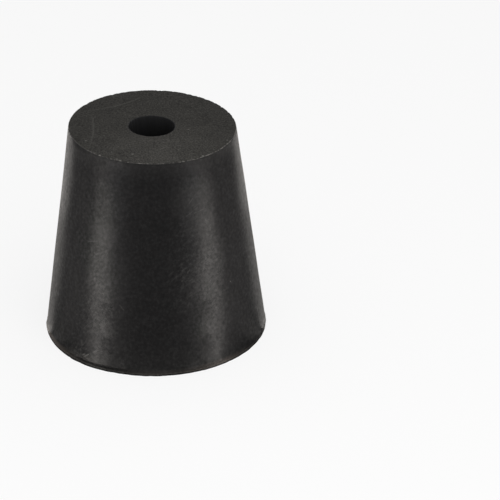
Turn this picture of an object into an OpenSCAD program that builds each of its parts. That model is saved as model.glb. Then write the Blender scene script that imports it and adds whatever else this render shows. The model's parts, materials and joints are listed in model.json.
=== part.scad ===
// One-hole laboratory stopper, moulded in one piece of black rubber.
// It stands on its wide end. The origin is the centre of that face, and +Z runs up the bore.
// All sizes are in millimetres.

/* [Body] */
// Diameter of the tapered side where it would meet the wide face
wide_d = 24; // [20:0.1:30]
// Diameter of the narrow face
narrow_d = 18; // [12:0.1:19.5]
// Height from the wide face to the narrow face
height = 24; // [18:0.1:32]

/* [Bore] */
// Diameter of the straight length that grips a tube
grip_d = 3.7; // [3:0.05:4]
// Length of the straight grip, counted from the end of the wide mouth
grip_len = 12; // [6:0.1:15]
// Diameter of the bore at the narrow face
narrow_mouth_d = 5; // [4.05:0.05:7]
// Diameter of the bore at the wide face
wide_mouth_d = 4.1; // [4.05:0.05:6]
// Depth of the bevelled mouth in the wide face
wide_mouth_depth = 0.4; // [0.2:0.05:1]

/* [Trimmed lip at the wide end] */
// Height of the lip that is left where the moulding flash was trimmed
lip_h = 0.3; // [0.25:0.01:1]
// How far the lip stands proud of the tapered side
lip_out = 0.06; // [0:0.01:0.3]
// Width of the groove between the lip and the tapered side
groove_w = 0.16; // [0.1:0.01:0.8]
// Depth of that groove
groove_depth = 0.07; // [0.03:0.01:0.12]

/* [Edges] */
// Radius of the edge round the wide face
wide_edge_r = 0.06; // [0.03:0.01:0.15]
// Radius of the lip's upper edge
lip_edge_r = 0.08; // [0.03:0.01:0.15]
// Radius of the edge round the narrow face
narrow_edge_r = 0.08; // [0.05:0.01:0.4]

/* [Hidden] */

// Facets in a full turn, and segments in each rounded corner of the section
$fn = 128;
corner_steps = 4;
groove_steps = 6;

wide_r = wide_d / 2;
narrow_r = narrow_d / 2;
lip_r = wide_r + lip_out;
taper_angle = atan((wide_r - narrow_r) / height);
grip_top = wide_mouth_depth + grip_len;

// Radius of the tapered side at height z
function side_r(z) = wide_r + (narrow_r - wide_r) * z / height;

// Points on a circular arc about centre c, from angle a0 to angle a1
function arc(c, r, a0, a1, steps) =
    [for (i = [0:steps]) let (a = a0 + (a1 - a0) * i / steps) c + r * [cos(a), sin(a)]];

// Rounded edge of the wide face, from the face to the lip's wall
function wide_edge() =
    arc([lip_r - wide_edge_r, wide_edge_r], wide_edge_r, -90, 0, corner_steps);

// Rounded upper edge of the lip, from its wall to its shoulder
function lip_edge() =
    arc([lip_r - lip_edge_r, lip_h - lip_edge_r], lip_edge_r, 0, 90, corner_steps);

// Groove above the lip: the straight way from the lip's upper edge to the tapered side, hollowed by half a sine wave
function groove() =
    let (
        low = [lip_r - lip_edge_r, lip_h],
        high = [side_r(lip_h + groove_w), lip_h + groove_w]
    )
    [for (i = [1:groove_steps]) let (share = i / groove_steps)
        low + (high - low) * share - [groove_depth * sin(180 * share), 0]];

// Rounded edge of the narrow face, tangent to the tapered side and to the face
function narrow_edge() =
    let (
        inset = narrow_edge_r * (1 - sin(taper_angle)) / cos(taper_angle),
        centre = [narrow_r - inset, height - narrow_edge_r]
    )
    arc(centre, narrow_edge_r, taper_angle, 90, corner_steps);

// Half section of the whole stopper: radius against height
function section() = concat(
    [[wide_mouth_d / 2, 0]],
    wide_edge(),
    lip_edge(),
    groove(),
    narrow_edge(),
    [
        [narrow_mouth_d / 2, height],
        [grip_d / 2, grip_top],
        [grip_d / 2, wide_mouth_depth]
    ]
);

// The moulded body, with the bore running through it
module stopper() {
    color([0.13, 0.13, 0.125])
        rotate_extrude()
            polygon(section());
}

stopper();
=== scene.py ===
"""Looks of a black rubber laboratory stopper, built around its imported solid.

The stopper is one revolved surface that carries the marks of a moulded, ground and trimmed part: a nicked
rim round the narrow end, which is cut a little out of square, an uneven lip with a groove above it round
the wide end, and a side that is not quite even. Its finishes are a satin moulded side, finely ground ends,
a rough trimmed lip, a rubbed rim and a dark bore.
"""

import json
import math

import bpy
import numpy as np
from mathutils import Matrix, Vector


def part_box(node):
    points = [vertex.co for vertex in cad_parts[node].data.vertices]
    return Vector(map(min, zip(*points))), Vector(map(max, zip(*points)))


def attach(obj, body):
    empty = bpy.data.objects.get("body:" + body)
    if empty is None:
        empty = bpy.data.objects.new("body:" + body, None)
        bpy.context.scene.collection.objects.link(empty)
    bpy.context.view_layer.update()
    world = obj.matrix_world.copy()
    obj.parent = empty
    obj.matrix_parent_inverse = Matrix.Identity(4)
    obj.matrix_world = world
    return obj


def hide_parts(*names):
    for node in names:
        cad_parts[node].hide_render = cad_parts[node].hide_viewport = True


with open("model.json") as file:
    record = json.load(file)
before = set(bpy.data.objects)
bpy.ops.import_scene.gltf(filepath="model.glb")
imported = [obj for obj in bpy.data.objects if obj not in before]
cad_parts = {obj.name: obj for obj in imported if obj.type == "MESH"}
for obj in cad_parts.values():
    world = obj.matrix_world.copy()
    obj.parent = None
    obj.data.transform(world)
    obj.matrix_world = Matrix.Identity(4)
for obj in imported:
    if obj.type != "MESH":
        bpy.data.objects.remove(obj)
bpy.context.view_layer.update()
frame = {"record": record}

MM = 0.001
FULL_TURN = 2 * math.pi

# Section of the stopper: the overall sizes and the bore's grip come from the frame
_, stopper_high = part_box("stopper")
bore_mount = next(m for m in frame["record"]["mounts"] if m["name"] == "bore")
HEIGHT = stopper_high.z
LIP_RADIUS = stopper_high.x
GRIP_RADIUS = bore_mount["dims"]["r_mm"] * MM
GRIP_LENGTH = bore_mount["dims"]["length_mm"] * MM
GRIP_MIDDLE = bore_mount["pos_m"][2]
WIDE_RADIUS = 12 * MM
NARROW_RADIUS = 9 * MM
NARROW_MOUTH_RADIUS = 2.5 * MM
WIDE_MOUTH_RADIUS = 2.05 * MM
LIP_HEIGHT = 0.3 * MM
GROOVE_WIDTH = 0.16 * MM
GROOVE_DEPTH = 0.07 * MM
WIDE_EDGE_RADIUS = 0.06 * MM
LIP_EDGE_RADIUS = 0.08 * MM
NARROW_EDGE_RADIUS = 0.08 * MM
MOUTH_EDGE_RADIUS = 0.06 * MM

# Grid of the surface: points in a full turn and along each stretch of the section, close near the edges
STEPS_ROUND = 640
SECTION_STEPS = {
    "wide_end": 14,
    "wide_edge": 5,
    "lip": 4,
    "lip_edge": 3,
    "groove": 6,
    "low_side": 8,
    "side": 36,
    "high_side": 10,
    "narrow_edge": 6,
    "outer_narrow_end": 10,
    "narrow_end": 22,
    "mouth_edge": 4,
    "draft": 12,
    "grip": 6,
    "wide_mouth": 3,
}
LOW_SIDE_TOP = 2 * MM
HIGH_SIDE_DEPTH = 1 * MM
OUTER_NARROW_END_WIDTH = 0.8 * MM

# Directions in the section, in degrees
OUT = 0
UP = 90
IN = 180
DOWN = -90

# Wear and unevenness of the surface: bands are wave numbers round a ring, and angles are in radians
SEED = 7
FLAT_TOPPED = 4
DIAGONAL = math.sqrt(0.5)
RIM_JAG_DEPTH = 0.012 * MM
RIM_JAG_BAND = (40, 220)
RIM_WEAR_REACH = 0.16 * MM
RIM_NICKS = 46
RIM_NICK_WIDTHS = (0.006, 0.03)
RIM_NICK_DEPTHS = (0.01 * MM, 0.055 * MM)
WORN_SPOT_ANGLE = math.radians(211)
WORN_SPOT_WIDTH = math.radians(10)
WORN_SPOT_DEPTH = 0.12 * MM
WORN_SPOT_REACH = 0.4 * MM
LIP_WOBBLE = 0.012 * MM
LIP_WOBBLE_BAND = (3, 60)
LIP_CHIPS = 30
LIP_CHIP_WIDTHS = (0.006, 0.03)
LIP_CHIP_DEPTHS = (0.01 * MM, 0.05 * MM)
LIP_CHIP_REACH = 0.2 * MM
DEEP_GROOVE_ANGLE = math.radians(236)
DEEP_GROOVE_WIDTH = math.radians(17)
FLUSH_SHARE = 0.9
FLUSH_CHANGE = 0.1
FLUSH_BAND = (2, 14)
FLARE_ANGLE = math.radians(228)
FLARE_WIDTH = math.radians(15)
FLARE_OUT = 0.12 * MM
SIDE_WAVE_HEIGHT = 0.012 * MM
SIDE_WAVES = 60
SIDE_WAVES_ROUND = 14
SIDE_WAVES_ALONG = 0.9
SIDE_WAVES_FADE_LOW = 3 * MM
SIDE_WAVES_FADE_HIGH = 1 * MM
MOUTH_WOBBLE = 0.015 * MM
MOUTH_WOBBLE_BAND = (2, 40)
MOUTH_WOBBLE_REACH = 0.3 * MM
NARROW_END_SLANT = (-0.024, -0.0152)
SLANT_REACH = 6 * MM
MOUTH_SHIFT = (-0.064 * MM, 0.035 * MM)
MOUTH_SHIFT_REACH = 4 * MM

# Camera, in the frame of the stopper
CAMERA_DISTANCE = 450 * MM
CAMERA_ELEVATION = math.radians(28.238)
CAMERA_YAW = math.radians(-1.3148)
CAMERA_PITCH = math.radians(-0.3741)
CAMERA_ROLL = math.radians(1.1376)
CAMERA_LENS_MM = 298.56
SENSOR_MM = 36.0

# Sockets of the Mix node, whose values and colours have the same names
MIX_SHARE = 0
MIX_VALUES = (2, 3)
MIX_VALUE_OUT = 0
MIX_COLOURS = (6, 7)
MIX_COLOUR_OUT = 2

# Grain and specks: detail and roughness of the noises, the spans of them in use, and sizes of specks
FINE_NOISE = (2.0, 0.6)
CLOUD_NOISE = (3.0, 0.5)
FINE_SPAN = (0.2, 0.8)
CLOUD_SPAN = (0.28, 0.72)
GLOSS_SPAN = (0.1, 0.9)
SPECK_LEAST_SIZE = 0.4
SPECK_CORE = 0.6
SIDE_GRAIN = {"Grains per metre": 3000.0, "Clouds per metre": 620.0, "Cloud share": 0.75}
END_GRAIN = {"Grains per metre": 5600.0, "Clouds per metre": 420.0, "Cloud share": 0.15}
RIM_GRAIN = {"Grains per metre": 4200.0, "Clouds per metre": 1100.0, "Cloud share": 0.4}
BORE_GRAIN = {"Grains per metre": 4000.0, "Clouds per metre": 900.0, "Cloud share": 0.5}
SIDE_STROKES = {"Strokes per metre": 3600.0, "Least": 0.5, "Full": 0.68}
SIDE_SPECKS = {"Cells per metre": 870.0, "Size": 0.1, "Share": 0.01}
END_SPARKLE = {"Cells per metre": 5200.0, "Size": 0.55, "Share": 0.4}
NARROW_END_SPECKS = {"Cells per metre": 1100.0, "Size": 0.13, "Share": 0.05}
WIDE_END_SPECKS = {"Cells per metre": 1100.0, "Size": 0.13, "Share": 0.3}
SPARKLE_STRENGTH = 0.22
FLECK_POWER = 2.6
SCUFF_SLANT = (0, math.radians(50), 0)
SCUFF_STRETCH = (1, 1, 4.0)
BORE_DRAG = (1, 1, 0.15)

# Colours of the finishes, where the grain runs from a dark to a pale one, and of what lies on them
SIDE_COLOURS = ((0.0046, 0.0046, 0.0047, 1), (0.0095, 0.0095, 0.0096, 1))
LIP_COLOURS = ((0.013, 0.0127, 0.012, 1), (0.044, 0.0428, 0.04, 1))
NARROW_END_COLOURS = ((0.003, 0.00285, 0.0025, 1), (0.055, 0.0525, 0.0479, 1))
WIDE_END_COLOURS = ((0.006, 0.0052, 0.0044, 1), (0.051, 0.0450, 0.0388, 1))
RIM_COLOURS = ((0.018, 0.0175, 0.0165, 1), (0.102, 0.098, 0.091, 1))
BORE_COLOURS = ((0.011, 0.011, 0.0115, 1), (0.019, 0.019, 0.0195, 1))
SCUFF_AND_GLINT_COLOUR = (0.028, 0.0276, 0.027, 1)
FOOT_PALE_COLOUR = (0.075, 0.065, 0.058, 1)
FRINGE_AND_SHEEN_COLOUR = (0.075, 0.073, 0.069, 1)
SIDE_SPECK_COLOUR = (0.035, 0.0345, 0.0335, 1)
END_SPECK_COLOUR = (0.26, 0.25, 0.23, 1)
SPARKLE_COLOUR = (0.11, 0.105, 0.092, 1)
PALE_MARK_COLOUR = (0.13, 0.126, 0.117, 1)
RIM_DULL_COLOUR = (0.03, 0.0292, 0.0276, 1)
WHITE = (1, 1, 1, 1)

# Roughness, gloss and depth of the grain of each finish
MOULDED_ROUGHNESS = (0.45, 0.65)
SIDE_GLOSS = (0.038, 0.096)
LIP_GLOSS = (0.03, 0.1)
SATIN_ROUGHNESS = 0.3
END_ROUGHNESS = 0.85
RIM_ROUGHNESS = 0.7
BORE_ROUGHNESS = 0.55
DULL_SPECULAR = 0.09
SIDE_GRAIN_DEPTH = 0.045 * MM
SIDE_GRAIN_FADE = (6 * MM, 21 * MM, 1, 0.5)
END_GRAIN_DEPTH = 0.056 * MM
RIM_GRAIN_DEPTH = 0.04 * MM
BORE_GRAIN_DEPTH = 0.02 * MM

# Marks of wear, with some painted glints among the flecks, in millimetres: place, radius and strength of
# spots, and both ends and strength of scratches
SPOT_CORE = 0.2
SIDE_HAZE = [
    (-5.5, -8.4, 15.6, 2.2, 0.2),
    (4.4, -8.5, 19.4, 3.2, 0.2),
    (4.9, -8.5, 17.0, 2.6, 0.2),
]
SIDE_FLECKS_AND_GLINTS = [
    (2.9, -10.2, 11.0, 2.6, 0.35),
    (3.5, -10.1, 8.7, 2.2, 0.3),
    (4.4, -8.5, 19.4, 3.2, 0.3),
    (-8.2, -8.6, 1.1, 2.0, 0.4),
    (-6.7, -9.7, 1.6, 2.0, 0.3),
    # These four lie along the long highlight on the left; their pale flecks are painted glints of it
    (-6.0, -8.6, 13.2, 1.6, 0.3),
    (-6.3, -8.85, 9.8, 1.7, 0.32),
    (-6.6, -9.1, 6.6, 1.7, 0.28),
    (-6.9, -9.3, 3.6, 1.6, 0.2),
]
SIDE_SCRATCHES = [
    ((3.44, -9.14, 17.87), (4.60, -8.51, 18.58), 0.5),
    ((4.28, -8.76, 18.01), (5.19, -8.23, 18.17), 0.55),
    ((4.19, -8.54, 19.89), (4.88, -8.09, 20.42), 0.4),
    ((3.73, -8.84, 19.22), (4.10, -8.61, 19.68), 0.7),
    ((4.18, -8.72, 18.64), (4.82, -8.33, 18.98), 0.45),
    ((5.29, -8.11, 18.51), (5.68, -7.76, 19.10), 0.3),
    ((3.82, -8.59, 20.80), (4.09, -8.41, 21.19), 0.35),
    ((3.29, -8.83, 20.64), (3.61, -8.65, 21.02), 0.25),
    ((4.65, -8.66, 17.37), (5.08, -8.38, 17.58), 0.25),
    ((-8.93, -7.94, 0.40), (-8.66, -8.22, 0.50), 1.0),
    ((-8.03, -8.76, 0.95), (-7.82, -8.91, 1.16), 0.9),
    ((-7.78, -8.99, 0.91), (-7.37, -9.26, 1.30), 1.0),
    ((-7.58, -9.19, 0.73), (-7.22, -9.46, 0.80), 0.6),
    ((-6.86, -9.58, 1.74), (-6.47, -9.80, 2.01), 0.45),
    ((-6.53, -9.87, 1.33), (-6.33, -9.97, 1.53), 0.4),
    ((2.85, -10.13, 11.81), (3.23, -9.98, 12.09), 0.4),
    ((2.17, -10.39, 11.11), (2.27, -10.34, 11.31), 0.45),
    ((3.42, -9.99, 11.52), (3.65, -9.88, 11.75), 0.4),
    ((3.16, -10.20, 10.55), (3.38, -10.12, 10.62), 0.35),
    ((3.59, -10.06, 10.53), (3.91, -9.93, 10.63), 0.4),
    ((-7.10, -7.37, 14.12), (-6.13, -8.13, 14.51), 0.4),
    ((-5.70, -8.33, 15.20), (-5.55, -8.43, 15.35), 0.5),
    ((-3.85, -10.32, 7.89), (-3.43, -10.53, 7.39), 0.4),
]
SCRATCH_WIDTH = 0.11 * MM
TOP_HAZE = 0.17
TOP_HAZE_REACH = 1.8 * MM

# Paler spots at the foot, a pale fringe that is partly a painted highlight, and painted shade along the
# bottom edge, in the same form. Spans of height run from where a thing begins to where it is full
FOOT_PALE_SPOTS = [
    (-11.2, -4.2, 0, 5.5, 0.8),
    (6.6, -10.0, 0, 5.8, 0.4),
    (0, -12.0, 0.2, 5.5, 0.2),
]
FOOT_PALE_LEAST = 0.03
FOOT_PALE_SPAN = (0.75 * MM, 0.15 * MM)
# Pale flecks above the groove that are also a painted highlight, where the long highlight reaches the
# groove
GROOVE_FRINGE_AND_SHEEN = [
    (-7.0, -9.65, 0.75, 2.6, 0.14),
    (-8.8, -8.1, 0.75, 2.6, 0.12),
]
FRINGE_LOW_SPAN = (0.45 * MM, 0.6 * MM)
FRINGE_HIGH_SPAN = (1.3 * MM, 0.7 * MM)
# Painted shade along the very bottom edge: the span of height over which it lifts, and the gains below and
# above
FOOT_CONTACT_SHADE = (0.08 * MM, 0.22 * MM, 0.25, 1)

# Marks on the narrow end, in millimetres: place, radius and strength of grains, and centre, radius, middle
# and reach of round scratches
NARROW_END_GRAINS = [
    (-7.09, -3.56, 0.14, 1),
    (-5.60, -7.00, 0.17, 1),
    (-4.37, -6.26, 0.11, 0.8),
    (-3.80, -7.95, 0.15, 0.9),
    (-3.43, -8.25, 0.15, 0.9),
    (-2.15, -6.75, 0.17, 1),
    (3.85, -0.80, 0.13, 0.8),
    (5.28, -7.12, 0.19, 1),
    (6.43, -5.50, 0.11, 0.6),
    (7.95, -3.35, 0.13, 0.7),
]
NARROW_END_ARCS = [
    ((-9.4, 14.6), 11.1, (-3.6, 5.2), 4.5),
    ((-29.8, -0.5), 23.5, (-6.4, -1.2), 4.5),
]
ARC_WIDTH = 0.18 * MM
ARC_STRENGTH = 0.2
ARC_CORE = 0.4
# Painted pool of light towards the front of the narrow end: its middle in millimetres, the distances from
# it over which it grows, and the gains at them
NARROW_END_LIGHT_POOL = (0.8, -6.5)
NARROW_END_LIGHT_POOL_SPAN = (9 * MM, 1.5 * MM)
NARROW_END_LIGHT_POOL_GAIN = (0.98, 1.44)
RIM_RUBBED_SPAN = (0.42, 0.72)
RIM_DULL = [
    (-8.0, -4.0, 24.2, 5.0, 0.85),
]
# Painted shade in the bore: the depth below the narrow end over which it darkens, and its gains deep in and
# at the mouth
BORE_SHADE_DEPTH = 2.8 * MM
BORE_SHADE_GAIN = (0.25, 1.2)

# Floor, open under the stopper, and the world's strength as a light
FLOOR_RADIUS = 1.5
FLOOR_OPENING = 11.7 * MM
FLOOR_STEPS = 96
FLOOR_PAINT = (0.93, 0.93, 0.93, 1)
FLOOR_OWN_WHITE = 0.8
WORLD_LIGHT = 0.6

# Soft box above and in front
BOX_PLACE = (25 * MM, -85 * MM, 150 * MM)
BOX_SIZE = 140 * MM
BOX_BRIGHTNESS = 1.9
BOX_COLOUR = (1.0, 1.0, 1.0)

# Single lamps on the floor, as they lie before the foot and at the right
LAMP_LIFT = 0.02 * MM
LAMP_COLOUR = (1.0, 0.955, 0.91)
FOOT_LAMP_START = 12.7 * MM
FOOT_LAMP_LENGTH = 6 * MM
FOOT_LAMP_WIDTH = 22 * MM
FOOT_LAMP_BRIGHTNESS = 2.4
PATCH_PLACE = (6.4 * MM, -13.0 * MM)
PATCH_WIDTH = 3.6 * MM
PATCH_LENGTH = 2.6 * MM
PATCH_BRIGHTNESS = 6.2
GLOW_PLACE = (63 * MM, -66 * MM)
GLOW_WIDTH = 34 * MM
GLOW_LENGTH = 40 * MM
GLOW_BRIGHTNESS = 7.8
GLOW_COLOUR = (0.97, 0.98, 1.0)

# Fans of lamps on the floor, as they lie at the right: the foot of the highlight, the way out from it, how
# fast the row bends backwards, how wide it spreads, and the level of each lamp in turn
FAN_NEAR = 0.8 * MM
FAN_GROWTH = 1.853
FAN_START_WIDTH = 3.2 * MM
CORE_FAN = {
    "foot": (6.6 * MM, -10.4 * MM),
    "way": math.radians(32),
    "bend": math.radians(0.23) / MM,
    "spread": 0.43,
    "levels": (0.46, 0.57, 0.66, 0.77, 0.84, 0.83, 1.05),
}
SKIRT_FAN = {**CORE_FAN, "way": math.radians(52), "spread": 0.55}
WING_FAN = {
    "foot": (10.4 * MM, -2.2 * MM),
    "way": math.radians(-66),
    "bend": 0,
    "spread": 0.8,
    "levels": (2.0, 1.7, 1.1, 1.0, 0.95, 1.0, 1.7, 1.5),
}
FLANK_FAN = {
    "foot": (11.2 * MM, -4.0 * MM),
    "way": math.radians(-6),
    "bend": 0,
    "spread": 0.58,
    "levels": (2.2, 2.1, 1.6, 0.9, 0.65, 0.7, 1.05, 1.7),
}
CORE_BRIGHTNESS = 33.5
SKIRT_BRIGHTNESS = 1.4
WING_BRIGHTNESS = {"left": 5.2, "right": 4.4}
FLANK_BRIGHTNESS = 1.1


def side_radius(z):
    """Radius of the tapered side at height z: a straight line from the wide end to the narrow end."""
    return WIDE_RADIUS + (NARROW_RADIUS - WIDE_RADIUS) * z / HEIGHT


def on_side(z):
    """Point of the tapered side at height z, as radius and height."""
    return (side_radius(z), z)


def straight(start, end, count):
    """Points of a straight stretch: start plus even shares of the way to end, without end itself."""
    share = np.arange(count)[:, None] / count
    return np.array(start) + share * (np.array(end) - np.array(start))


def rounded(centre, radius, first, last, count):
    """Points of a round stretch: the centre plus the radius at even angles, in degrees, but the last."""
    angle = np.radians(first + (last - first) * np.arange(count) / count)
    return np.array(centre) + radius * np.stack([np.cos(angle), np.sin(angle)], axis=1)


def hollow(start, end, depth, count):
    """Points of a hollow stretch: the straight line to end, pushed inwards by half a sine wave."""
    points = straight(start, end, count)
    points[:, 0] -= depth * np.sin(np.pi * np.arange(count) / count)
    return points


def stopper_section():
    """The closed half section as (radius, height) points, and the finish of the face after each point.

    It runs out along the wide face, up the lip and the side, in along the narrow face and down the bore.
    Each stretch of it is straight, round or hollow, and starts where the one before it ends.
    """
    steps = SECTION_STEPS
    taper = math.atan((WIDE_RADIUS - NARROW_RADIUS) / HEIGHT)
    edge_inset = NARROW_EDGE_RADIUS * (1 - math.sin(taper)) / math.cos(taper)
    wide_mouth = (WIDE_MOUTH_RADIUS, 0)
    wide_edge = (LIP_RADIUS - WIDE_EDGE_RADIUS, WIDE_EDGE_RADIUS)
    lip_low = (LIP_RADIUS, WIDE_EDGE_RADIUS)
    lip_high = (LIP_RADIUS, LIP_HEIGHT - LIP_EDGE_RADIUS)
    lip_edge = (LIP_RADIUS - LIP_EDGE_RADIUS, LIP_HEIGHT - LIP_EDGE_RADIUS)
    lip_top = (LIP_RADIUS - LIP_EDGE_RADIUS, LIP_HEIGHT)
    groove_top = on_side(LIP_HEIGHT + GROOVE_WIDTH)
    side_low = on_side(LOW_SIDE_TOP)
    side_high = on_side(HEIGHT - HIGH_SIDE_DEPTH)
    side_end = on_side(HEIGHT - NARROW_EDGE_RADIUS * (1 - math.sin(taper)))
    narrow_edge = (NARROW_RADIUS - edge_inset, HEIGHT - NARROW_EDGE_RADIUS)
    face_start = (narrow_edge[0], HEIGHT)
    face_inner = (narrow_edge[0] - OUTER_NARROW_END_WIDTH, HEIGHT)
    face_end = (NARROW_MOUTH_RADIUS + MOUTH_EDGE_RADIUS, HEIGHT)
    mouth_edge = (face_end[0], HEIGHT - MOUTH_EDGE_RADIUS)
    mouth_wall = (NARROW_MOUTH_RADIUS, HEIGHT - MOUTH_EDGE_RADIUS)
    grip_high = (GRIP_RADIUS, GRIP_MIDDLE + GRIP_LENGTH / 2)
    grip_low = (GRIP_RADIUS, GRIP_MIDDLE - GRIP_LENGTH / 2)
    narrow_edge_turn = (math.degrees(taper), UP)
    stretches = [
        ("ground_wide_end", straight(wide_mouth, (wide_edge[0], 0), steps["wide_end"])),
        ("trimmed_lip", rounded(wide_edge, WIDE_EDGE_RADIUS, DOWN, OUT, steps["wide_edge"])),
        ("trimmed_lip", straight(lip_low, lip_high, steps["lip"])),
        ("trimmed_lip", rounded(lip_edge, LIP_EDGE_RADIUS, OUT, UP, steps["lip_edge"])),
        ("moulded_side", hollow(lip_top, groove_top, GROOVE_DEPTH, steps["groove"])),
        ("moulded_side", straight(groove_top, side_low, steps["low_side"])),
        ("moulded_side", straight(side_low, side_high, steps["side"])),
        ("moulded_side", straight(side_high, side_end, steps["high_side"])),
        ("worn_rim", rounded(narrow_edge, NARROW_EDGE_RADIUS, *narrow_edge_turn, steps["narrow_edge"])),
        ("ground_narrow_end", straight(face_start, face_inner, steps["outer_narrow_end"])),
        ("ground_narrow_end", straight(face_inner, face_end, steps["narrow_end"])),
        ("bore_wall", rounded(mouth_edge, MOUTH_EDGE_RADIUS, UP, IN, steps["mouth_edge"])),
        ("bore_wall", straight(mouth_wall, grip_high, steps["draft"])),
        ("bore_wall", straight(grip_high, grip_low, steps["grip"])),
        ("bore_wall", straight(grip_low, wide_mouth, steps["wide_mouth"])),
    ]
    points = np.concatenate([part for _, part in stretches])
    finishes = np.concatenate([[name] * len(part) for name, part in stretches])
    return points, finishes


def bell(distance, reach, power=2):
    """A bell-shaped share, one in the middle: e raised to minus a power of distance over reach."""
    return np.exp(-(distance / reach) ** power)


def ring_noise(angle, band, random):
    """Smooth noise round a ring: sines with every whole wave number of a band and with random sizes and
    phases, added up and scaled to a spread of one."""
    lowest, highest = band
    number = np.arange(lowest, highest + 1)[:, None]
    size = random.normal(0, 1, number.shape)
    phase = random.uniform(0, FULL_TURN, number.shape)
    total = (size * np.sin(number * angle + phase)).sum(axis=0)
    return total / total.std()


def surface_noise(angle, along, waves, most_round, most_along, random):
    """Smooth noise over the side: plane waves in the angle and in the way along the section, added up
    and scaled to a spread of one."""
    total = np.zeros((len(angle), len(along)))
    for _ in range(waves):
        number = random.integers(1, most_round + 1)
        slope = random.uniform(-most_along, most_along)
        phase = random.uniform(0, FULL_TURN)
        total += np.sin(number * angle[:, None] + slope * along[None, :] + phase)
    return total / total.std()


def round_gap(angle, centre):
    """Signed angle from a centre, taken the short way round."""
    return (angle - centre + math.pi) % FULL_TURN - math.pi


def nick_depth(angle, count, widths, depths, random):
    """Depth of small nicks round a ring: the deepest of many bell-shaped hollows at random angles."""
    centre = random.uniform(0, FULL_TURN, (count, 1))
    width = random.uniform(*widths, (count, 1))
    depth = random.uniform(*depths, (count, 1))
    return (depth * bell(round_gap(angle, centre), width)).max(axis=0)


def stopper_surface():
    """The stopper's points on a grid of angle and section, with its wear, and the finish along the way.

    A point is the section turned to its angle. The section is moved there in radius and height: inwards
    and down along the narrow rim by jags, nicks and one worn spot, in and out along the lip and the mouth,
    outwards where the lip flares, to a plain slope where lip and groove run out, and in long low waves
    along the side. At the narrow end, the mouth is then moved off centre, and height is added in proportion
    to x and y, which slants the end. The slant grows from nothing at its reach below the end.
    """
    random = np.random.default_rng(SEED)
    section, finishes = stopper_section()
    radius, height = section.T
    angle = np.arange(STEPS_ROUND) * FULL_TURN / STEPS_ROUND

    # Wear of the narrow rim
    rim_distance = np.hypot(radius - NARROW_RADIUS, height - HEIGHT)
    jags = RIM_JAG_DEPTH * np.abs(ring_noise(angle, RIM_JAG_BAND, random))
    nicks = nick_depth(angle, RIM_NICKS, RIM_NICK_WIDTHS, RIM_NICK_DEPTHS, random)
    rim_wear = np.outer(jags + nicks, bell(rim_distance, RIM_WEAR_REACH))
    worn_spot = WORN_SPOT_DEPTH * bell(round_gap(angle, WORN_SPOT_ANGLE), WORN_SPOT_WIDTH, FLAT_TOPPED)
    rim_wear += np.outer(worn_spot, bell(rim_distance, WORN_SPOT_REACH))
    move_in = DIAGONAL * rim_wear

    # Wobble and chips of the lip
    on_lip = (finishes == "trimmed_lip") & (height < LIP_HEIGHT)
    lip_move = LIP_WOBBLE * ring_noise(angle, LIP_WOBBLE_BAND, random)
    chips = nick_depth(angle, LIP_CHIPS, LIP_CHIP_WIDTHS, LIP_CHIP_DEPTHS, random)
    near_lip_edge = bell(np.hypot(radius - LIP_RADIUS, height), LIP_CHIP_REACH)

    # Plain slope where the groove runs out, and the flare of the lip
    slope_top = LIP_HEIGHT + GROOVE_WIDTH
    on_slope = (height >= WIDE_EDGE_RADIUS) & (height < slope_top) & (radius > NARROW_RADIUS)
    slope_radius = side_radius(height) + (LIP_RADIUS - WIDE_RADIUS) * (1 - height / slope_top)
    levelled = (slope_radius - radius) * on_slope
    deep = bell(round_gap(angle, DEEP_GROOVE_ANGLE), DEEP_GROOVE_WIDTH, FLAT_TOPPED)
    flush_noise = ring_noise(angle, FLUSH_BAND, random).clip(-1, 1)
    flush = (1 - deep) * (FLUSH_SHARE + FLUSH_CHANGE * flush_noise)
    flare = FLARE_OUT * bell(round_gap(angle, FLARE_ANGLE), FLARE_WIDTH)
    flare_share = on_lip * np.clip(1 - height / LIP_HEIGHT, 0, 1)

    # Waves of the side, which fade out at both ends of it
    above_lip = np.clip((height - LIP_HEIGHT) / SIDE_WAVES_FADE_LOW, 0, 1)
    below_rim = np.clip((HEIGHT - height) / SIDE_WAVES_FADE_HIGH, 0, 1)
    side_share = (finishes == "moulded_side") * (above_lip * below_rim)
    wave_numbers = (SIDE_WAVES, SIDE_WAVES_ROUND, SIDE_WAVES_ALONG)
    waves = SIDE_WAVE_HEIGHT * surface_noise(angle, height / MM, *wave_numbers, random)

    # Wobble of the narrow mouth
    mouth_distance = np.hypot(radius - NARROW_MOUTH_RADIUS, height - HEIGHT)
    mouth_move = MOUTH_WOBBLE * ring_noise(angle, MOUTH_WOBBLE_BAND, random)

    radial = -move_in + np.outer(lip_move, on_lip) - np.outer(chips, near_lip_edge)
    radial += np.outer(flush, levelled) + np.outer(flare, flare_share)
    radial += waves * side_share + np.outer(mouth_move, bell(mouth_distance, MOUTH_WOBBLE_REACH))
    turned_radius = radius[None, :] + radial
    points = np.stack([
        turned_radius * np.cos(angle)[:, None],
        turned_radius * np.sin(angle)[:, None],
        height[None, :] - move_in,
    ], axis=2)

    # Shift of the narrow mouth and slant of the narrow end
    near_end = np.clip((height - HEIGHT + SLANT_REACH) / SLANT_REACH, 0, 1)
    shift_radius = NARROW_MOUTH_RADIUS + MOUTH_SHIFT_REACH
    near_mouth = near_end * np.clip((shift_radius - radius) / MOUTH_SHIFT_REACH, 0, 1)
    points[:, :, :2] += np.array(MOUTH_SHIFT) * near_mouth[None, :, None]
    points[:, :, 2] += (points[:, :, :2] * NARROW_END_SLANT).sum(axis=2) * near_end
    return points, finishes


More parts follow.
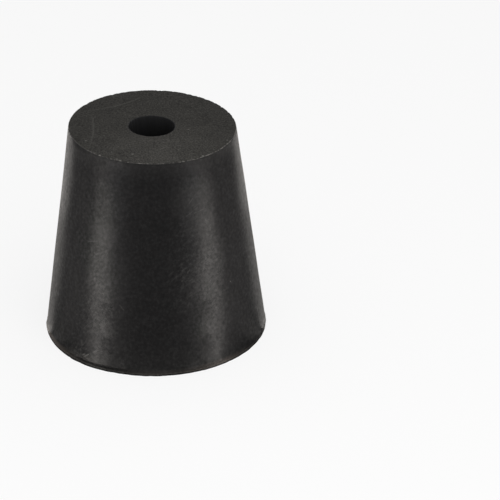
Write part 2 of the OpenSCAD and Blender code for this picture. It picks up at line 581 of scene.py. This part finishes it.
def ring_mesh(name, points, finishes, materials):
    """A closed mesh on a grid that meets itself both ways: each quad joins four neighbours on it."""
    steps_round, steps_along, _ = points.shape
    index = np.arange(steps_round * steps_along).reshape(steps_round, steps_along)
    next_round = np.roll(index, -1, axis=0)
    next_along = np.roll(index, -1, axis=1)
    across = np.roll(next_round, -1, axis=1)
    corners = [index, next_round, across, next_along]
    quads = np.stack(corners, axis=2).reshape(-1, len(corners))
    mesh = bpy.data.meshes.new(name)
    mesh.vertices.add(index.size)
    mesh.vertices.foreach_set("co", points.reshape(-1).astype(np.float32))
    mesh.loops.add(quads.size)
    mesh.loops.foreach_set("vertex_index", quads.reshape(-1).astype(np.int32))
    mesh.polygons.add(len(quads))
    mesh.polygons.foreach_set("loop_start", np.arange(0, quads.size, len(corners), dtype=np.int32))
    names = list(materials)
    along = np.array([names.index(finish) for finish in finishes], dtype=np.int32)
    mesh.polygons.foreach_set("material_index", np.tile(along, steps_round))
    for material in materials.values():
        mesh.materials.append(material)
    mesh.update(calc_edges=True)
    mesh.validate()
    mesh.shade_smooth()
    piece = bpy.data.objects.new(name, mesh)
    bpy.context.scene.collection.objects.link(piece)
    return piece


def add(tree, kind, inputs=None, **options):
    """Adds a node with its options. Each named or numbered input takes a value or a link from a socket."""
    node = tree.nodes.new(kind)
    for option, value in options.items():
        setattr(node, option, value)
    for name, value in (inputs or {}).items():
        if isinstance(value, bpy.types.NodeSocket):
            tree.links.new(value, node.inputs[name])
        else:
            node.inputs[name].default_value = value
    return node


def maths(tree, operation, first, second=0.0):
    """One sum on two values or sockets."""
    return add(tree, "ShaderNodeMath", {0: first, 1: second}, operation=operation).outputs[0]


def vector_maths(tree, operation, inputs):
    """One sum on places, ways or colours. It gives both of the node's outputs, Vector and Value."""
    return add(tree, "ShaderNodeVectorMath", inputs, operation=operation).outputs


def ramp(tree, value, start, end, low=0.0, high=1.0):
    """A value that runs from low to high, and no further, while the input runs from start to end."""
    inputs = {"Value": value, "From Min": start, "From Max": end, "To Min": low, "To Max": high}
    return add(tree, "ShaderNodeMapRange", inputs).outputs[0]


def noise(tree, place, scale, detail, roughness):
    """A noise between nought and one, with its scale in waves a metre."""
    inputs = {"Vector": place, "Scale": scale, "Detail": detail, "Roughness": roughness}
    return add(tree, "ShaderNodeTexNoise", inputs).outputs[0]


def blend(tree, share, first, second):
    """A colour between two others."""
    inputs = {MIX_SHARE: share, MIX_COLOURS[0]: first, MIX_COLOURS[1]: second}
    return add(tree, "ShaderNodeMix", inputs, data_type="RGBA").outputs[MIX_COLOUR_OUT]


def brighter(tree, colour, factor):
    """A colour times a factor."""
    return vector_maths(tree, "SCALE", {0: colour, "Scale": factor})["Vector"]


def new_group(name, inputs, outputs):
    """An empty shader group, with its inputs and outputs given by name and kind."""
    tree = bpy.data.node_groups.new(name, "ShaderNodeTree")
    for way, sockets in (("INPUT", inputs), ("OUTPUT", outputs)):
        for socket, kind in sockets.items():
            tree.interface.new_socket(name=socket, in_out=way, socket_type="NodeSocket" + kind)
    return tree, add(tree, "NodeGroupInput").outputs, add(tree, "NodeGroupOutput").inputs


def place_group(tree, group, place, settings):
    """Puts a shader group in a tree, with the place that it reads and its other inputs by name."""
    return add(tree, "ShaderNodeGroup", {"Vector": place, **settings}, node_tree=group).outputs


def dust_group():
    """Dust specks: in a share of random cells, the places close to the cell's own point."""
    inputs = {"Vector": "Vector", "Cells per metre": "Float", "Size": "Float", "Share": "Float"}
    tree, given, result = new_group("dust specks", inputs, {"Mask": "Float"})
    scattered = {"Vector": given["Vector"], "Scale": given["Cells per metre"]}
    cells = add(tree, "ShaderNodeTexVoronoi", scattered).outputs
    chance = add(tree, "ShaderNodeSeparateColor", {"Color": cells["Color"]}).outputs
    chosen = maths(tree, "LESS_THAN", chance["Red"], given["Share"])
    size = ramp(tree, chance["Green"], 0, 1, SPECK_LEAST_SIZE, 1)
    reach = maths(tree, "MULTIPLY", given["Size"], size)
    near = ramp(tree, maths(tree, "DIVIDE", cells["Distance"], reach), 1, SPECK_CORE)
    tree.links.new(maths(tree, "MULTIPLY", chosen, near), result["Mask"])
    return tree


def grain_group():
    """Rubber grain: a fine noise, and for the relief the same mixed with a cloudy one."""
    inputs = {
        "Vector": "Vector",
        "Grains per metre": "Float",
        "Clouds per metre": "Float",
        "Cloud share": "Float",
    }
    tree, given, result = new_group("rubber grain", inputs, {"Grain": "Float", "Height": "Float"})
    fine = noise(tree, given["Vector"], given["Grains per metre"], *FINE_NOISE)
    cloudy = noise(tree, given["Vector"], given["Clouds per metre"], *CLOUD_NOISE)
    grain = ramp(tree, fine, *FINE_SPAN)
    cloud = ramp(tree, cloudy, *CLOUD_SPAN)
    both = {MIX_SHARE: given["Cloud share"], MIX_VALUES[0]: grain, MIX_VALUES[1]: cloud}
    mixed = add(tree, "ShaderNodeMix", both, data_type="FLOAT").outputs[MIX_VALUE_OUT]
    tree.links.new(grain, result["Grain"])
    tree.links.new(mixed, result["Height"])
    return tree


def scuff_group():
    """Scuffs: the crests of a noise drawn out along a slanting line, which read as short strokes."""
    inputs = {"Vector": "Vector", "Strokes per metre": "Float", "Least": "Float", "Full": "Float"}
    tree, given, result = new_group("scuffs", inputs, {"Mask": "Float"})
    drawn_out = {"Vector": given["Vector"], "Rotation": SCUFF_SLANT, "Scale": SCUFF_STRETCH}
    slant = add(tree, "ShaderNodeMapping", drawn_out, vector_type="TEXTURE").outputs[0]
    crest = noise(tree, slant, given["Strokes per metre"], *FINE_NOISE)
    tree.links.new(ramp(tree, crest, given["Least"], given["Full"]), result["Mask"])
    return tree


def new_material(name):
    """A material with a Principled shader, its tree and the Object coordinates."""
    material = bpy.data.materials.new(name)
    material.use_nodes = True
    tree = material.node_tree
    coordinates = add(tree, "ShaderNodeTexCoord").outputs["Object"]
    return material, tree, tree.nodes["Principled BSDF"].inputs, coordinates


def bump(tree, height, depth, shader):
    """Feeds the shader's normal from a height, whose full range is the depth in metres."""
    made = add(tree, "ShaderNodeBump", {"Height": height, "Strength": 1.0, "Distance": depth})
    tree.links.new(made.outputs[0], shader["Normal"])


def height_of(tree, place):
    """Height of a place above the floor."""
    return add(tree, "ShaderNodeSeparateXYZ", {0: place}).outputs["Z"]


def distance_to(tree, place, point):
    """Distance of a place from a point given in millimetres."""
    spot = tuple(MM * value for value in point)
    return vector_maths(tree, "DISTANCE", {0: place, 1: spot})["Value"]


def spots(tree, place, points):
    """The greatest of several round spots that fade out from the middle, each given in millimetres as its
    place and its radius, and by its strength."""
    total = 0.0
    for *point, radius, strength in points:
        distance = distance_to(tree, place, point)
        spot = ramp(tree, distance, radius * MM, SPOT_CORE * radius * MM, 0, strength)
        total = maths(tree, "MAXIMUM", spot, total)
    return total


def scratches(tree, place, lines):
    """The greatest of several thin straight scratches, each given by both ends in millimetres and strength.

    A scratch is strongest on its line and fades out at the width to either side.
    """
    total = 0.0
    for first, last, strength in lines:
        start = MM * Vector(first)
        way = MM * Vector(last) - start
        from_start = vector_maths(tree, "SUBTRACT", {0: place, 1: start})["Vector"]
        along = vector_maths(tree, "DOT_PRODUCT", {0: from_start, 1: way / way.length_squared})["Value"]
        nearest = vector_maths(tree, "SCALE", {0: way, "Scale": ramp(tree, along, 0, 1)})["Vector"]
        off = vector_maths(tree, "DISTANCE", {0: from_start, 1: nearest})["Value"]
        total = maths(tree, "MAXIMUM", ramp(tree, off, SCRATCH_WIDTH, 0, 0, strength), total)
    return total


def on_narrow_end(x, y):
    """A point of the slanted narrow end, in millimetres."""
    return (x, y, HEIGHT / MM + NARROW_END_SLANT[0] * x + NARROW_END_SLANT[1] * y)


def arc_mark(tree, place, centre, radius, middle, reach):
    """A thin round scratch on the narrow end: near a circle, and fading out away from its middle."""
    from_centre = distance_to(tree, place, on_narrow_end(*centre))
    from_circle = maths(tree, "SUBTRACT", from_centre, radius * MM)
    line = ramp(tree, maths(tree, "ABSOLUTE", from_circle), ARC_WIDTH, 0, 0, ARC_STRENGTH)
    from_middle = distance_to(tree, place, on_narrow_end(*middle))
    fade = ramp(tree, from_middle, reach * MM, ARC_CORE * reach * MM)
    return maths(tree, "MULTIPLY", line, fade)


def grain_spots(tree, place):
    """Single pale grains on the narrow end and its rim."""
    grains = [(*on_narrow_end(x, y), radius, strength) for x, y, radius, strength in NARROW_END_GRAINS]
    return spots(tree, place, grains)


def narrow_end_marks(tree, place):
    """Pale marks on the narrow end: the greatest of thin round scratches and a few single grains."""
    total = grain_spots(tree, place)
    for arc in NARROW_END_ARCS:
        total = maths(tree, "MAXIMUM", arc_mark(tree, place, *arc), total)
    return total


def side_scuffs_and_glints(tree, place, groups):
    """Scuffs on the side: the greatest of a faint pale film, patches of short flecks, some of them painted
    glints along the long highlight, and single scratches.
    """
    strokes = place_group(tree, groups["scuffs"], place, SIDE_STROKES)["Mask"]
    flecks = maths(tree, "MULTIPLY", strokes, spots(tree, place, SIDE_FLECKS_AND_GLINTS))
    top_haze = ramp(tree, height_of(tree, place), HEIGHT - TOP_HAZE_REACH, HEIGHT, 0, TOP_HAZE)
    paling = maths(tree, "MAXIMUM", top_haze, spots(tree, place, SIDE_HAZE))
    pale_marks_and_glints = maths(tree, "MAXIMUM", flecks, paling)
    return maths(tree, "MAXIMUM", pale_marks_and_glints, scratches(tree, place, SIDE_SCRATCHES))


def foot_marks_and_shade(tree, place, colour):
    """A colour with what lies at the foot: paler spots low down, a pale fringe above the groove, which is
    partly a painted highlight, and painted shade along the very bottom edge.
    """
    height = height_of(tree, place)
    # Paler low down at the foot, most in a few broad spots
    pale_spots = maths(tree, "MAXIMUM", spots(tree, place, FOOT_PALE_SPOTS), FOOT_PALE_LEAST)
    pale_low = maths(tree, "MULTIPLY", pale_spots, ramp(tree, height, *FOOT_PALE_SPAN))
    colour = blend(tree, pale_low, colour, FOOT_PALE_COLOUR)
    # Pale fringe above the groove, partly a painted highlight
    fringe_low = ramp(tree, height, *FRINGE_LOW_SPAN)
    fringe_high = ramp(tree, height, *FRINGE_HIGH_SPAN)
    above_groove = maths(tree, "MINIMUM", fringe_low, fringe_high)
    fringe = maths(tree, "MULTIPLY", spots(tree, place, GROOVE_FRINGE_AND_SHEEN), above_groove)
    colour = blend(tree, fringe, colour, FRINGE_AND_SHEEN_COLOUR)
    # Painted shade: darker along the very bottom edge
    return brighter(tree, colour, ramp(tree, height, *FOOT_CONTACT_SHADE))


def moulded_rubber(name, groups, colours, gloss, scuff_and_glint_marks=None):
    """Satin moulded rubber: a fine grain that flecks the colour and varies the roughness and the gloss.

    The gloss is a thin satin coat. Scuffs with some painted glints, paler spots, a pale fringe and painted
    shade at the foot, and a few specks of dust lie over the colour, and the relief of grain and clouds gets
    lower towards the narrow end.
    """
    material, tree, shader, place = new_material(name)
    look = place_group(tree, groups["grain"], place, SIDE_GRAIN)
    colour = blend(tree, maths(tree, "POWER", look["Grain"], FLECK_POWER), *colours)
    if scuff_and_glint_marks is not None:
        # Scuffs, with painted glints along the long highlight
        colour = blend(tree, scuff_and_glint_marks(tree, place, groups), colour, SCUFF_AND_GLINT_COLOUR)
    colour = foot_marks_and_shade(tree, place, colour)
    specks = place_group(tree, groups["dust"], place, SIDE_SPECKS)["Mask"]
    tree.links.new(blend(tree, specks, colour, SIDE_SPECK_COLOUR), shader["Base Color"])
    tree.links.new(ramp(tree, look["Grain"], *GLOSS_SPAN, *MOULDED_ROUGHNESS), shader["Roughness"])
    tree.links.new(ramp(tree, look["Grain"], *GLOSS_SPAN, *gloss), shader["Coat Weight"])
    shader["Coat Roughness"].default_value = SATIN_ROUGHNESS
    shader["Specular IOR Level"].default_value = 0.0
    fade = ramp(tree, height_of(tree, place), *SIDE_GRAIN_FADE)
    bump(tree, maths(tree, "MULTIPLY", look["Height"], fade), SIDE_GRAIN_DEPTH, shader)
    return material


def ground_rubber(name, groups, colours, dust, marks=None):
    """Finely ground rubber: a matte face with a sharp grain, pale sparkling grains and scattered dust.

    A face with marks is also brighter towards one place on it, a painted pool of light that fades out
    from there.
    """
    material, tree, shader, place = new_material(name)
    look = place_group(tree, groups["grain"], place, END_GRAIN)
    sparkle = place_group(tree, groups["dust"], place, END_SPARKLE)["Mask"]
    specks = place_group(tree, groups["dust"], place, dust)["Mask"]
    colour = blend(tree, look["Height"], *colours)
    colour = blend(tree, maths(tree, "MULTIPLY", sparkle, SPARKLE_STRENGTH), colour, SPARKLE_COLOUR)
    if marks is not None:
        # Painted pool of light: brighter towards the front middle of the narrow end
        distance = distance_to(tree, place, on_narrow_end(*NARROW_END_LIGHT_POOL))
        paling = ramp(tree, distance, *NARROW_END_LIGHT_POOL_SPAN, *NARROW_END_LIGHT_POOL_GAIN)
        colour = brighter(tree, colour, paling)
        colour = blend(tree, marks(tree, place), colour, PALE_MARK_COLOUR)
    tree.links.new(blend(tree, specks, colour, END_SPECK_COLOUR), shader["Base Color"])
    shader["Roughness"].default_value = END_ROUGHNESS
    shader["Specular IOR Level"].default_value = DULL_SPECULAR
    bump(tree, look["Grain"], END_GRAIN_DEPTH, shader)
    return material


def worn_rim(groups):
    """The narrow end's edge: rubbed pale in ragged patches, dull at one side, with a few pale grains."""
    material, tree, shader, place = new_material("worn_rim")
    look = place_group(tree, groups["grain"], place, RIM_GRAIN)
    colour = blend(tree, ramp(tree, look["Height"], *RIM_RUBBED_SPAN), *RIM_COLOURS)
    colour = blend(tree, spots(tree, place, RIM_DULL), colour, RIM_DULL_COLOUR)
    colour = blend(tree, grain_spots(tree, place), colour, PALE_MARK_COLOUR)
    tree.links.new(colour, shader["Base Color"])
    shader["Roughness"].default_value = RIM_ROUGHNESS
    shader["Specular IOR Level"].default_value = DULL_SPECULAR
    bump(tree, look["Height"], RIM_GRAIN_DEPTH, shader)
    return material


def bore_wall(groups):
    """The bore's wall: dull, with the drag marks of the core pin along it, and darker further in by painted
    shade.
    """
    material, tree, shader, place = new_material("bore_wall")
    along = add(tree, "ShaderNodeMapping", {"Vector": place, "Scale": BORE_DRAG}).outputs[0]
    look = place_group(tree, groups["grain"], along, BORE_GRAIN)
    colour = blend(tree, look["Height"], *BORE_COLOURS)
    # Painted shade: darker further into the bore
    painted_shade = ramp(tree, height_of(tree, place), HEIGHT - BORE_SHADE_DEPTH, HEIGHT, *BORE_SHADE_GAIN)
    tree.links.new(brighter(tree, colour, painted_shade), shader["Base Color"])
    shader["Roughness"].default_value = BORE_ROUGHNESS
    shader["Specular IOR Level"].default_value = DULL_SPECULAR
    bump(tree, look["Height"], BORE_GRAIN_DEPTH, shader)
    return material


def build_stopper():
    """The stopper: one piece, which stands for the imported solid."""
    groups = {"dust": dust_group(), "grain": grain_group(), "scuffs": scuff_group()}
    made = [
        moulded_rubber("moulded_side", groups, SIDE_COLOURS, SIDE_GLOSS, side_scuffs_and_glints),
        ground_rubber("ground_narrow_end", groups, NARROW_END_COLOURS, NARROW_END_SPECKS, narrow_end_marks),
        ground_rubber("ground_wide_end", groups, WIDE_END_COLOURS, WIDE_END_SPECKS),
        moulded_rubber("trimmed_lip", groups, LIP_COLOURS, LIP_GLOSS),
        worn_rim(groups),
        bore_wall(groups),
    ]
    materials = {material.name: material for material in made}
    points, finishes = stopper_surface()
    piece = ring_mesh("rubber_stopper", points, finishes, materials)
    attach(piece, "root")
    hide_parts("stopper")


def bare_tree(holder):
    """The emptied node tree of a material or a world."""
    holder.use_nodes = True
    holder.node_tree.nodes.clear()
    return holder.node_tree


def seen_by_eye(tree):
    """One for the rays that show a surface as it is: from the camera, reflected or through glass."""
    path = add(tree, "ShaderNodeLightPath").outputs
    reflected = maths(tree, "MAXIMUM", path["Is Glossy Ray"], path["Is Transmission Ray"])
    return maths(tree, "MAXIMUM", path["Is Camera Ray"], reflected)


def white_floor():
    """White paint, clear from below. Part of its white is its own, so that shadows on it stay soft."""
    material = bpy.data.materials.new("white_floor")
    tree = bare_tree(material)
    paint = add(tree, "ShaderNodeBsdfDiffuse", {"Color": FLOOR_PAINT}).outputs[0]
    own_white = add(tree, "ShaderNodeEmission", {"Color": WHITE, "Strength": 1.0}).outputs[0]
    share = maths(tree, "MULTIPLY", seen_by_eye(tree), FLOOR_OWN_WHITE)
    top = add(tree, "ShaderNodeMixShader", {0: share, 1: paint, 2: own_white}).outputs[0]
    clear = add(tree, "ShaderNodeBsdfTransparent").outputs[0]
    below = add(tree, "ShaderNodeNewGeometry").outputs["Backfacing"]
    both = add(tree, "ShaderNodeMixShader", {0: below, 1: top, 2: clear}).outputs[0]
    add(tree, "ShaderNodeOutputMaterial", {"Surface": both})
    return material


def build_floor():
    """A plain white floor: a flat ring of quads between two circles.

    The stopper covers the opening, which lets light to its wide end.
    """
    angle = np.arange(FLOOR_STEPS) * FULL_TURN / FLOOR_STEPS
    circle = np.stack([np.cos(angle), np.sin(angle), np.zeros(FLOOR_STEPS)], axis=1)
    points = np.concatenate([FLOOR_OPENING * circle, FLOOR_RADIUS * circle])
    inner = np.arange(FLOOR_STEPS)
    after = np.roll(inner, -1)
    quads = np.stack([inner, inner + FLOOR_STEPS, after + FLOOR_STEPS, after], axis=1)
    mesh = bpy.data.meshes.new("floor")
    mesh.from_pydata(points.tolist(), [], quads.tolist())
    mesh.materials.append(white_floor())
    floor = bpy.data.objects.new("floor", mesh)
    bpy.context.scene.collection.objects.link(floor)


def build_world():
    """An even white studio: white to the eye, and a little dimmer as light."""
    world = bpy.data.worlds.new("studio")
    tree = bare_tree(world)
    strength = ramp(tree, seen_by_eye(tree), 0, 1, WORLD_LIGHT, 1.0)
    light = add(tree, "ShaderNodeBackground", {"Color": WHITE, "Strength": strength}).outputs[0]
    add(tree, "ShaderNodeOutputWorld", {"Surface": light})
    bpy.context.scene.world = world


def soft_box(name, width, length, brightness, colour):
    """A lit rectangle that the camera doesn't see. A brightness of one is as bright as white paper."""
    lamp = bpy.data.lights.new(name, "AREA")
    lamp.shape = "RECTANGLE"
    lamp.size = width
    lamp.size_y = length
    lamp.energy = brightness * math.pi * width * length
    lamp.color = colour
    holder = bpy.data.objects.new(name, lamp)
    holder.visible_camera = False
    bpy.context.scene.collection.objects.link(holder)
    return holder


def overhead_box():
    """A soft box above and in front, which faces the middle of the narrow end."""
    box = soft_box("overhead_box", BOX_SIZE, BOX_SIZE, BOX_BRIGHTNESS, BOX_COLOUR)
    facing = Vector((0, 0, HEIGHT)) - Vector(BOX_PLACE)
    box.location = BOX_PLACE
    box.rotation_euler = facing.to_track_quat("-Z", "Y").to_euler()


def floor_lamp(name, middle, way, width, length, brightness, colour=LAMP_COLOUR):
    """A soft box that lies on the floor and shines up, with its length along the way that it points."""
    lamp = soft_box(name, width, length, brightness, colour)
    lamp.location = (middle[0], middle[1], LAMP_LIFT)
    lamp.rotation_euler = (math.pi, 0, math.atan2(way[1], way[0]) + math.pi / 2)


def light_fan(name, side, brightness, foot, way, bend, spread, levels):
    """A fan of floor lamps for one long highlight on the side.

    The lamps follow each other outwards from the foot of the highlight. Each is longer than the one before
    by the same factor, wider by its share of the distance and as bright as its level says. The row bends
    backwards by an angle that grows with the distance.
    """
    near = FAN_NEAR
    for step, level in enumerate(levels):
        far = near * FAN_GROWTH
        middle = (near + far) / 2
        turned = way - bend * middle
        outward = np.array([side * math.cos(turned), -math.sin(turned)])
        place = np.array([side * foot[0], foot[1]]) + outward * middle
        width = spread * (FAN_START_WIDTH + middle)
        floor_lamp(f"{name}_{step}", place, outward, width, far - near, brightness * level)
        near = far


def build_lights():
    """A soft box above, a low lamp before the foot, and at each side four fans, a patch and a glow.

    The core and the skirt make the long highlight on the side, the patch its foot and the glow its top.
    The wing and the flank light the side close to the outline. All but the soft box lie on the floor.
    """
    overhead_box()
    foot = (0, -FOOT_LAMP_START - FOOT_LAMP_LENGTH / 2)
    floor_lamp("foot_lamp", foot, (0, -1), FOOT_LAMP_WIDTH, FOOT_LAMP_LENGTH, FOOT_LAMP_BRIGHTNESS)
    for name, side in (("left", -1), ("right", 1)):
        light_fan(f"{name}_core", side, CORE_BRIGHTNESS, **CORE_FAN)
        light_fan(f"{name}_skirt", side, SKIRT_BRIGHTNESS, **SKIRT_FAN)
        light_fan(f"{name}_wing", side, WING_BRIGHTNESS[name], **WING_FAN)
        patch = (side * PATCH_PLACE[0], PATCH_PLACE[1])
        floor_lamp(f"{name}_patch", patch, patch, PATCH_WIDTH, PATCH_LENGTH, PATCH_BRIGHTNESS)
        glow = (side * GLOW_PLACE[0], GLOW_PLACE[1])
        floor_lamp(f"{name}_glow", glow, glow, GLOW_WIDTH, GLOW_LENGTH, GLOW_BRIGHTNESS, GLOW_COLOUR)
        light_fan(f"{name}_flank", side, FLANK_BRIGHTNESS, **FLANK_FAN)


def build_camera():
    """The photograph's camera: raised, then yawed, pitched and rolled in its own axes."""
    data = bpy.data.cameras.new("camera")
    data.lens = CAMERA_LENS_MM
    data.sensor_width = SENSOR_MM
    camera = bpy.data.objects.new("camera", data)
    back = Vector((0, -math.cos(CAMERA_ELEVATION), math.sin(CAMERA_ELEVATION)))
    place = Vector((0, 0, HEIGHT / 2)) + CAMERA_DISTANCE * back
    turn = Matrix.Rotation(math.pi / 2 - CAMERA_ELEVATION, 4, "X") @ Matrix.Rotation(CAMERA_YAW, 4, "Y")
    turn = turn @ Matrix.Rotation(CAMERA_PITCH, 4, "X") @ Matrix.Rotation(-CAMERA_ROLL, 4, "Z")
    camera.matrix_world = Matrix.Translation(place) @ turn
    bpy.context.scene.collection.objects.link(camera)
    bpy.context.scene.camera = camera


build_stopper()
build_floor()
build_world()
build_lights()
build_camera()
bpy.context.scene.view_settings.view_transform = "Standard"
